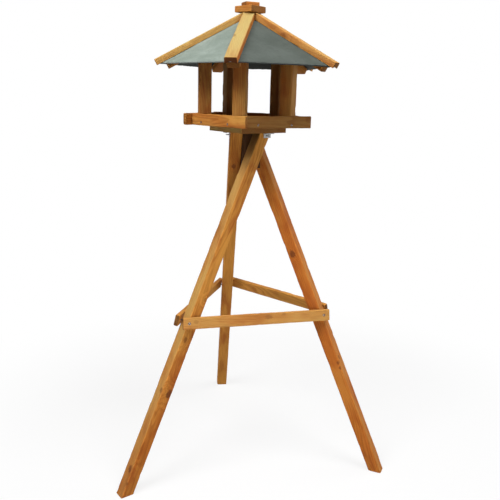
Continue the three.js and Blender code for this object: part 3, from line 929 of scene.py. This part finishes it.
# What differs on a single timber: its look, and the knots that stand out, each by the pixel of the
# photograph where it lies, its radius in millimetres and its strength
single = {
    "leg_1": {
        "tone": (-0.2, 0.9), "weatheredTop": 0.45, "shaded": 0.75,
        "knots": [
            ((185.6, 340), 7, 0.65), ((161, 390), 6, 0.6), ((169, 394), 10, 0.9), ((130, 469), 8, 0.8),
            ((127, 484), 4.5, 0.8), ((205, 300), 5, 0.5),
        ],
    },
    "leg_2": {
        "tone": (0.85, 1.0),
        "knots": [
            ((292.5, 254), 9, 0.9), ((339, 357), 4.5, 0.8), ((338, 363), 5, 0.8), ((340, 368), 4, 0.8),
        ],
    },
    # painted light: this leg is made paler than the other legs, above all towards its foot, for the light
    # that falls on it
    "leg_3": {"tone": (0.2, -0.3), "knots": [((233.8, 166.6), 7, 0.8)]},
    "brace_1": {
        "tone": (0.0, 0.5), "weathered": 0.35, "soaked": 0.05,
        "knots": [((269, 317), 8, 0.4), ((284, 314), 5, 0.3), ((196, 322), 6, 0.3)],
    },
    "brace_2": {"knots": []},
    # painted shade: this board is darkened because it lies in the roof's shadow
    "rim_board_1": {"tone": 0.6, "weathered": 0.45, "soaked": 0.5, "knots": []},
    "rim_board_4": {"tone": 0.2, "endDark": 0.1, "knots": []},
    "rim_board_5": {"tone": 0.35, "weathered": 0.15, "knots": []},
    # partly painted shade: the batten's lower end is made dark because it faces down, away from the light
    "hip_batten_1": {
        "tone": 0.9, "weatheredTop": 1.0, "soaked": 0.07, "endDark": 1.0,
        "knots": [((234, 35), 6, 0.5)],
    },
    "hip_batten_2": {"tone": 0.55, "weathered": 0.5, "weatheredTop": 0.2, "knots": [((283, 35), 7, 0.5)]},
    "hip_batten_5": {"tone": 0.0, "weathered": 0.5, "weatheredTop": 0.4, "endDark": 0.0, "knots": []},
    "post_1": {"tone": (0.75, 0.35), "soaked": 0.17, "knots": []},
    "post_2": {"tone": 0.5, "soaked": 0.12, "knots": []},
    "post_3": {"weathered": 0.6},
    "post_4": {"weathered": 0.6},
    "post_5": {"tone": 0.65, "soaked": 0.3, "knots": []},
    "cap_lower": {"knots": []},
    "cap_upper": {"screws": "cap_screw", "tone": 1.0, "knots": []},
    "tray_plate": {"tone": 0.15, "weathered": 0.75},
    # painted shade: the block is made nearly black because it sits in deep shade between the legs
    "leg_block": {"tone": 1.0, "soaked": 0.92},
}
blocks = ("tray_floor", "tray_plate", "leg_block", "roof_hub")
blockLook = {"tone": 0.6}
random = np.random.default_rng(5)  # the same draws each run


# The knots that a look names, or else random ones
def knotsOf(look, axes, middle, half):
    if "knots" not in look:
        return knotPlaces(half, random)
    return [
        (pixelOnBox(pixel, axes, middle, half), millimetres / 1000, strength)
        for pixel, millimetres, strength in look["knots"]
    ]


for seed, name in enumerate(sorted(nodes)):
    kind = name.rsplit("_", 1)[0]
    if kind not in timbers or name in blocks or name == "cap_screw":
        continue
    values = timbers[kind] | single.get(name, {})
    axes = values["axes"](name)
    middle, half = frameBox(name, axes)
    if "section" in values:
        corners, radii = values["section"](name, axes, middle, half)
    else:
        corners, radii = rectangle(half), [values["arris"]] * 4
    heads = values["screws"].format(name[-1]) if "screws" in values else None
    screws = screwsIn(axes, middle, [other for other in nodes if heads and other.startswith(heads)])
    loop = sectionLoop(corners, radii, sawn["fineReach"] if screws else 0)
    planes = [endPlane(name, axes, middle, -1), endPlane(name, axes, middle, 1)]
    rounding = sawn["boardEndRound" if kind == "rim_board" else "endRound"]
    points, faces = timberSurface(axes, middle, loop, planes, rounding, screws, seed)
    knots = knotsOf(values, axes, middle, half)
    material = pineMaterial(name, axes, middle, half, values, knots, random)
    linkPiece(f"sawn_{name}", points, faces, material, [name])
print("timbers made")

for name in blocks:
    axes = timberAxes(name) if name == "leg_block" else blockAxes(name)
    middle, half = frameBox(name, axes)
    look = single.get(name, blockLook)
    dress(name, pineMaterial(name, axes, middle, half, look, knotsOf(look, axes, middle, half), random))
print("blocks and floor dressed")


# Slates: riven tops in low terraces, and a dressed lower edge. A size is how long a lump of noise is
riven = {
    "across": 150,
    "rowStep": 0.003,
    "edgeStep": 0.0008,
    "edgeZone": 0.012,
    "rowRoom": 0.0004,  # between the last plain row and the first fine one
    "terrace": 0.00035,
    "terraceSize": (0.075, 0.02),
    "terraceNoise": (2.2, 0.5),
    "terraceStep": (0.75, 1.0),
    "terraceRange": (-1.5, 1),
    "slow": 0.0003,
    "slowSize": 0.035,
    "chip": 0.0022,
    "chipSize": (0.009, 0.022),
    "chipped": (0.4, 0.9),
    "underChip": 0.6,
    "bevel": 0.0014,
    "bevelWide": 0.0025,
    "bevelRagged": 0.7,
    "bevelSize": 0.007,
    "dressedSpread": 1.5,
    "endNear": 0.001,
}


# Top(u, v) = half thickness less slow noise, less terraces (a soft floor of noise), less the bevel, which
# grows towards the eave over a ragged width. The eave itself is drawn in by small chips
def slateSurface(name, seed):
    normals, areas, centres = nodeFaces(name)
    out, _ = largestFace(normals, areas, centres, normals[:, 2] > squarePart)
    side = unit(np.cross(up, out))
    axes = np.array([np.cross(side, out), side, out])
    middle, half = frameBox(name, axes)
    local = localPoints(name, axes, middle)
    narrow = local[local[:, 0] < -half[0] + riven["endNear"]][:, 1].max()
    wide = local[local[:, 0] > half[0] - riven["endNear"]][:, 1].max()
    body = np.arange(-half[0], half[0] - riven["edgeZone"], riven["rowStep"])
    brink = np.linspace(half[0] - riven["edgeZone"], half[0], int(riven["edgeZone"] / riven["edgeStep"]))
    along = np.concatenate([body, brink[brink > body[-1] + riven["rowRoom"]]])[:, None]
    part = np.linspace(-1, 1, riven["across"])[None, :]
    across = part * (narrow + (wide - narrow) * (along + half[0]) / (2 * half[0]))
    along = np.broadcast_to(along, across.shape)
    places = np.stack([along, across], -1)
    fromEave = half[0] - along
    small, large = (
        latticeNoise(across[..., None] / size, seed + more) for more, size in enumerate(riven["chipSize"])
    )
    chip = (0.5 + 0.5 * small) ** 2 + 0.5 * smoothStep(large, *riven["chipped"])
    drawn = riven["chip"] * chip * smoothStep(fromEave, riven["edgeZone"], 0)
    ragged = 1 + riven["bevelRagged"] * latticeNoise(places / riven["bevelSize"], seed + 2)
    bevel = np.clip(1 - fromEave / (riven["bevelWide"] * ragged), 0, 1)
    field = sum(
        high * latticeNoise(places / size, seed + more)
        for high, size, more in zip(riven["terraceNoise"], riven["terraceSize"], (3, 4))
    )
    level = np.floor(field) + smoothStep(field - np.floor(field), *riven["terraceStep"])
    level = np.clip(level, *riven["terraceRange"])
    lowered = riven["slow"] * (0.5 + 0.5 * latticeNoise(places / riven["slowSize"], seed + 5))
    lowered = lowered + riven["terrace"] * (1 - level) + riven["bevel"] * bevel
    top = np.stack([along - drawn, across, half[2] - lowered], -1)
    under = np.stack([along - riven["underChip"] * drawn, across, np.full(across.shape, -half[2])], -1)
    mask = np.clip(bevel * riven["dressedSpread"], 0, 1)
    mask = np.concatenate([np.zeros_like(bevel), mask[:, ::-1]], 1)
    mask[-1] = 1
    local = np.concatenate([under, top[:, ::-1]], 1)
    rows, columns = local.shape[:2]
    column = np.arange(riven["across"] - 1)
    faces = tubeFaces(rows, columns)
    for row, order in ((0, [0, 1, 2, 3]), (rows - 1, [3, 2, 1, 0])):
        start = row * columns
        behind = start + columns - 1 - column
        corners = [start + column, behind, behind - 1, start + column + 1]
        faces += np.stack([corners[i] for i in order], -1).tolist()
    return local.reshape(-1, 3) @ axes + middle, faces, mask.ravel()


seedsPerSlate = 11
# each slate's shade paints the light that falls on it
for number, shade in enumerate(slate["shades"], 1):
    name = f"roof_slate_{number}"
    points, faces, mask = slateSurface(name, number * seedsPerSlate)
    piece = linkPiece(f"riven_slate_{number}", points, faces, slateMaterial(number, shade), [name])
    piece.data.attributes.new("dressed", "FLOAT", "POINT").data.foreach_set("value", mask.astype(np.float32))
print("slates made")


# Screws: a flat or domed head with a cross recess, and a threaded shank
screwLook = {
    "sides": 36,
    "rings": (0.06, 1, 12),  # the first and last ring over the head's radius, and how many
    "recessArm": 0.62,
    "recessWide": 0.14,
    "recessSlope": 0.6,
    "recessDeep": 0.0011,
    "crown": 1.02,
    "cone": 0.6,
    "step": 0.0005,
    "pitch": 0.0016,
    "threadDeep": 0.16,
    "threadFree": 0.002,
    "pointLong": 0.005,
    "pointBlunt": 0.02,
    "mostTurn": 1.5,
    "upright": 0.8,  # a screw that points further up or down than this takes its side from another axis
    "shank": 0.5,  # over the head's radius
    "rimShank": 0.47,
}
bracketScrew = {"radius": 0.0033, "shank": 0.0019, "long": 0.014, "dome": 0.0019}


# Polar grid: rings across the head, down its cone to the shank, and along the thread to the point.
# Thread(z, a) = shank less a share of it, which goes from nothing to the thread's depth as sin(2 pi z / pitch
# + a) does from -1 to 1. The cross is lowered where one coordinate is small and the other within the arm
def screwSurface(head, axis, radius, shank, long, dome, turn):
    side = unit(np.cross(axis, up if abs(axis[2]) < screwLook["upright"] else np.array([1.0, 0, 0])))
    axes = np.array([side, np.cross(axis, side), axis])
    angle = np.linspace(0, 2 * math.pi, screwLook["sides"], endpoint=False)[None, :]
    reach = radius * np.linspace(*screwLook["rings"])[:, None]
    x, y = reach * np.cos(angle), reach * np.sin(angle)
    small, large = np.minimum(np.abs(x), np.abs(y)), np.maximum(np.abs(x), np.abs(y))
    wide, arm = screwLook["recessWide"] * radius, screwLook["recessArm"] * radius
    slope = screwLook["recessSlope"]
    inside = smoothStep(small, wide, wide * slope) * smoothStep(large, arm, arm * slope)
    crown = -dome * np.sqrt(np.clip(screwLook["crown"] - (reach / radius) ** 2, 0, 1))
    top = np.stack([x, y, crown + screwLook["recessDeep"] * inside], -1)
    down = np.linspace(0, long, int(long / screwLook["step"]))[1:, None]
    coneDeep = radius * screwLook["cone"] if dome == 0 else 0
    cone = radius - (radius - shank) * np.clip(down / coneDeep, 0, 1) if coneDeep else shank + 0 * down
    wave = 0.5 + 0.5 * np.sin(2 * math.pi * down / screwLook["pitch"] + angle)
    thread = 1 - screwLook["threadDeep"] * wave
    point = np.clip((long - down) / screwLook["pointLong"], screwLook["pointBlunt"], 1)
    width = np.where(down < coneDeep + screwLook["threadFree"], cone, shank * thread) * point
    shaft = np.stack([width * np.cos(angle), width * np.sin(angle), down + 0 * angle], -1)
    local = np.concatenate([top, shaft])
    rows, columns = local.shape[:2]
    ends = np.array([[0, 0, screwLook["recessDeep"] - dome], [0, 0, long]])
    local = np.concatenate([local.reshape(-1, 3), ends])
    spin = np.array([[math.cos(turn), math.sin(turn), 0], [-math.sin(turn), math.cos(turn), 0], [0, 0, 1]])
    faces = tubeFaces(rows, columns) + fanFaces(rows, columns, rows * columns, False)
    faces += fanFaces(rows, columns, rows * columns + 1, True)
    return local @ spin @ axes + head, faces


for name in sorted(nodes):
    if "screw" not in name:
        continue
    head, axis, radius, long = screwPlace(name)
    shank = radius * screwLook["rimShank" if name.startswith("rim") else "shank"]
    turn = random.uniform(0, screwLook["mostTurn"])
    points, faces = screwSurface(head, axis, radius, shank, long, 0, turn)
    material = zincDark if name.startswith(("rim", "brace")) else zincDull
    linkPiece(f"crossed_{name}", points, faces, material, [name])


# Angle brackets: how near its middle line a hole's rim lies, how near its top the upper sheet lies, and which
# of the three is dark
bracket = {"holeNear": 0.003, "sheetNear": 0.0025, "tarnished": 3}


# The two holes of a bracket: their middles on the outer side, and the directions into the wood
def bracketHoles(name):
    axes = blockAxes(name)  # its second row looks towards the leg
    middle, half = frameBox(name, axes)
    local = localPoints(name, axes, middle)
    rim = local[np.abs(local[:, 0]) < bracket["holeNear"]]
    low = rim[rim[:, 2] < half[2] - bracket["holeNear"]]
    high = rim[rim[:, 2] > half[2] - bracket["sheetNear"]]
    low, high = low[low[:, 1] < low[:, 1].mean()], high[high[:, 2] < high[:, 2].mean()]
    return [(low.mean(0) @ axes + middle, axes[1]), (high.mean(0) @ axes + middle, up)]


for number in range(1, 4):
    name = f"leg_bracket_{number}"
    dress(name, zincDark if number == bracket["tarnished"] else zincDull)
    for count, (place, direction) in enumerate(bracketHoles(name), 1):
        turn = random.uniform(0, screwLook["mostTurn"])
        points, faces = screwSurface(place, direction, **bracketScrew, turn=turn)
        linkPiece(f"bracket_screw_{number}_{count}", points, faces, zincDull)
print("screws and brackets made")


# Stage, light and world
stage = {
    "reach": 14.0,
    "worldLight": 0.08,
    "paper": 0.85,  # how light the floor is where it is seen
    "paperBounce": 0.36,  # and how much light it throws back
    "floorWhite": 0.8,
    "shadowReach": (0.6, 1.5),
    "floorRough": 0.9,
    "floorGloss": 0.1,
    "aim": 0.8,  # the height that a lamp looks at, unless it has its own
    "spread": 180,
}


# 1 where the camera sees a surface, straight, in metal or through glass
def seenRays(build):
    rays = build.add("ShaderNodeLightPath").outputs
    seen = build.math("MAXIMUM", rays["Is Camera Ray"], rays["Is Glossy Ray"])
    return build.math("MAXIMUM", seen, rays["Is Transmission Ray"])


# White paper: what the camera sees is a mix of the lit surface, which holds the shadow, and plain white
def makeFloor():
    half = stage["reach"]
    corners = np.array([[-half, -half, 0], [half, -half, 0], [half, half, 0], [-half, half, 0]])
    mesh = bpy.data.meshes.new("floor")
    mesh.from_pydata(corners.tolist(), [], [[0, 1, 2, 3]])
    floor = bpy.data.objects.new("floor", mesh)
    bpy.context.scene.collection.objects.link(floor)
    material, build, shader = newMaterial("floor_paper")
    shader.inputs["Roughness"].default_value = stage["floorRough"]
    shader.inputs["Specular IOR Level"].default_value = stage["floorGloss"]
    seen = seenRays(build)
    wire(build, shader, Base_Color=build.grey(build.fit(seen, 0, 1, stage["paperBounce"], stage["paper"])))
    glow = build.add("ShaderNodeEmission", {"Color": (1, 1, 1, 1), "Strength": 1.0}).outputs[0]
    away = build.vector("LENGTH", build.add("ShaderNodeTexCoord").outputs["Object"])
    white = build.fit(away, *stage["shadowReach"], stage["floorWhite"], 1.0)
    share = build.math("MULTIPLY", seen, white)
    both = build.add("ShaderNodeMixShader", {0: share, 1: shader.outputs[0], 2: glow}).outputs[0]
    output = next(node for node in build.tree.nodes if node.type == "OUTPUT_MATERIAL")
    build.tree.links.new(both, output.inputs["Surface"])
    mesh.materials.append(material)


# White where it is seen, and a weak light elsewhere
def makeWorld():
    world = bpy.data.worlds.new("studio")
    world.use_nodes = True
    bpy.context.scene.world = world
    build = Nodes(world.node_tree)
    background = next(node for node in world.node_tree.nodes if node.type == "BACKGROUND")
    background.inputs["Color"].default_value = (1, 1, 1, 1)
    strength = build.fit(seenRays(build), 0, 1, stage["worldLight"], 1.0, smooth=False)
    world.node_tree.links.new(strength, background.inputs["Strength"])


# Each lamp by its angle from the front (to the left is negative), height, distance, width and power
lamps = {
    "key": {"angle": -36, "height": 48, "away": 3.3, "size": 1.7, "power": 92},
    "top": {"angle": 60, "height": 68, "away": 3.2, "size": 1.6, "power": 72},
    "side": {"angle": 115, "height": 16, "away": 3.6, "size": 2.4, "power": 38},
    "low": {"angle": 20, "height": 2, "away": 3.2, "size": 1.2, "power": 2.5, "aim": 0.42, "spread": 36},
}


# A round lamp on a sphere about the middle of the part, turned towards it
def makeLamp(name, values):
    angle, height = math.radians(values["angle"]), math.radians(values["height"])
    target = (cadLow + cadHigh) / 2
    target.z = values.get("aim", stage["aim"])
    back = Vector((math.sin(angle) * math.cos(height), -math.cos(angle) * math.cos(height), math.sin(height)))
    light = bpy.data.lights.new(name, "AREA")
    light.energy = values["power"]
    light.shape = "DISK"
    light.size = values["size"]
    light.spread = math.radians(values.get("spread", stage["spread"]))
    lamp = bpy.data.objects.new(name, light)
    bpy.context.scene.collection.objects.link(lamp)
    lamp.location = target + back * values["away"]
    lamp.rotation_mode = "QUATERNION"
    lamp.rotation_quaternion = (-back).to_track_quat("-Z", "Y")


makeFloor()
makeWorld()
for name, values in lamps.items():
    makeLamp(name, values)
bpy.context.scene.view_settings.view_transform = "Standard"
print("stage and light placed")
